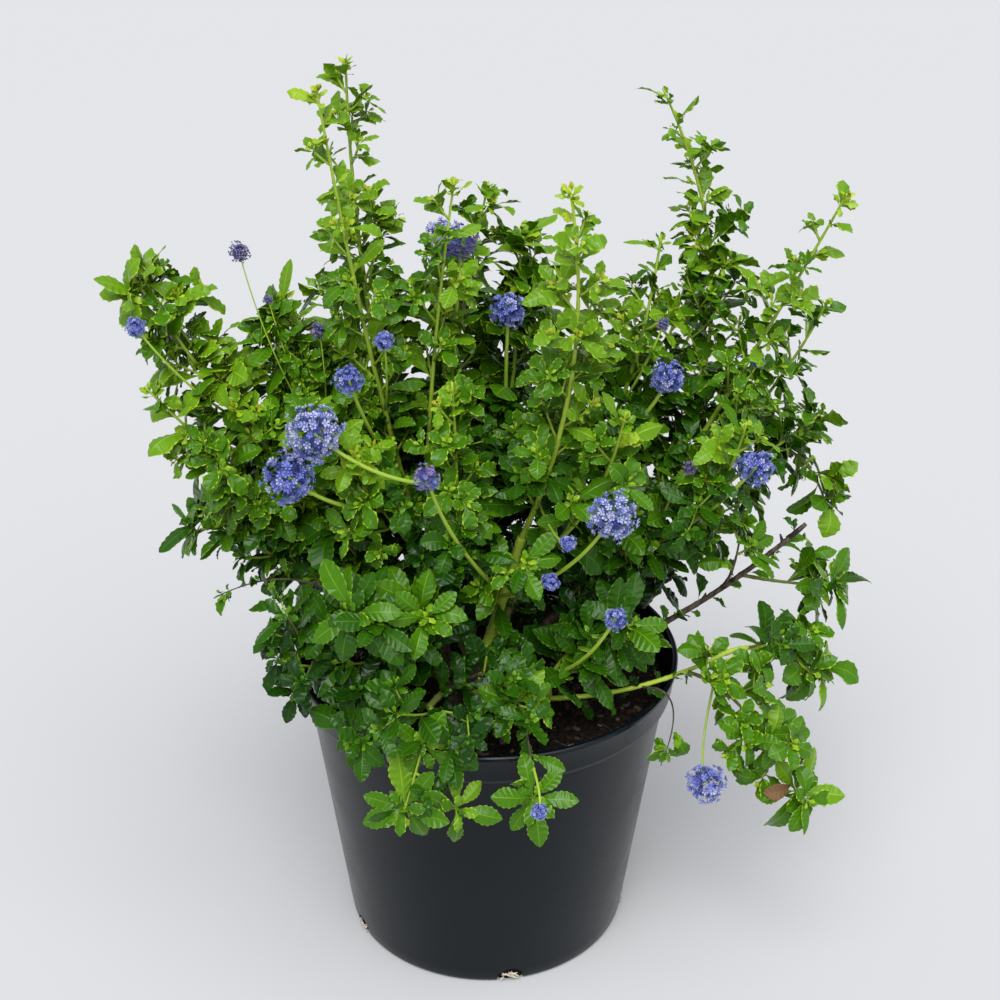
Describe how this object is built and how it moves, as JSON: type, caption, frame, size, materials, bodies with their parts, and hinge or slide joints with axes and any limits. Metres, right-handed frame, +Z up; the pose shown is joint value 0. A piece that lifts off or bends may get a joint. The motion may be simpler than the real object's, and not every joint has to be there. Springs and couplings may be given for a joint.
{
  "type": "potted flowering shrub",
  "caption": "California lilac shrub with open leafy shoots and small round blue flower heads, standing in a tapered black nursery pot.",
  "frame": {"origin": "centre of the pot's flat underside", "axes": "+Z up from the underside, +X to the right and +Y to the back as seen from the front"},
  "size_m": [0.5292, 0.3946, 0.6433],
  "materials": {
    "pot_plastic": "satin",
    "compost": "matte",
    "bark": "matte",
    "green_stem": "satin",
    "foliage": "satin"
  },
  "bodies": {
    "root": {"pot": "pot_plastic", "compost": "compost", "trunk": "bark", "bough_leader": "green_stem", "bough_left": "bark", "bough_left_high": "green_stem", "bough_back_left": "bark", "bough_back": "green_stem", "bough_back_right": "bark", "bough_right_high": "green_stem", "bough_right": "bark", "bough_pruned": "bark", "bough_low_right": "green_stem", "bough_front": "green_stem", "bough_front_left": "green_stem", "bough_inner_left": "green_stem", "shoot_tall_left": "foliage", "shoot_tall_left_front": "foliage", "shoot_middle_left": "foliage", "shoot_middle_back": "foliage", "shoot_centre_back": "foliage", "shoot_leader": "foliage", "shoot_right_inner": "foliage", "shoot_right_tuft": "foliage", "shoot_tall_right": "foliage", "shoot_right": "foliage", "shoot_right_back": "foliage", "shoot_right_outer": "foliage", "shoot_left": "foliage", "shoot_left_upper": "foliage", "shoot_left_outer": "foliage", "shoot_left_middle": "foliage", "shoot_inner_left": "foliage", "twig_left_low": "foliage", "shoot_flowered_left": "foliage", "shoot_centre_left": "foliage", "shoot_big_leaves": "foliage", "shoot_low_left": "foliage", "shoot_low_left_front": "foliage", "shoot_drooping": "foliage", "shoot_front_small": "foliage", "shoot_flower_stalks": "foliage", "shoot_centre_right": "foliage", "shoot_low_right": "foliage", "shoot_inner_right": "foliage", "shoot_right_front": "foliage", "twig_pruned_bough": "foliage", "shoot_far_right": "foliage", "shoot_right_arching": "foliage", "shoot_low_far_right": "foliage", "shoot_hanging_right": "foliage", "twig_hanging_thin": "foliage", "shoot_back_left_high": "foliage", "shoot_back_left_low": "foliage", "shoot_back_high": "foliage", "shoot_back_low": "foliage", "shoot_back_right_high": "foliage", "shoot_back_right_low": "foliage", "shoot_back_right_middle": "foliage", "shoot_left_back": "foliage"}
  },
  "joints": []
}
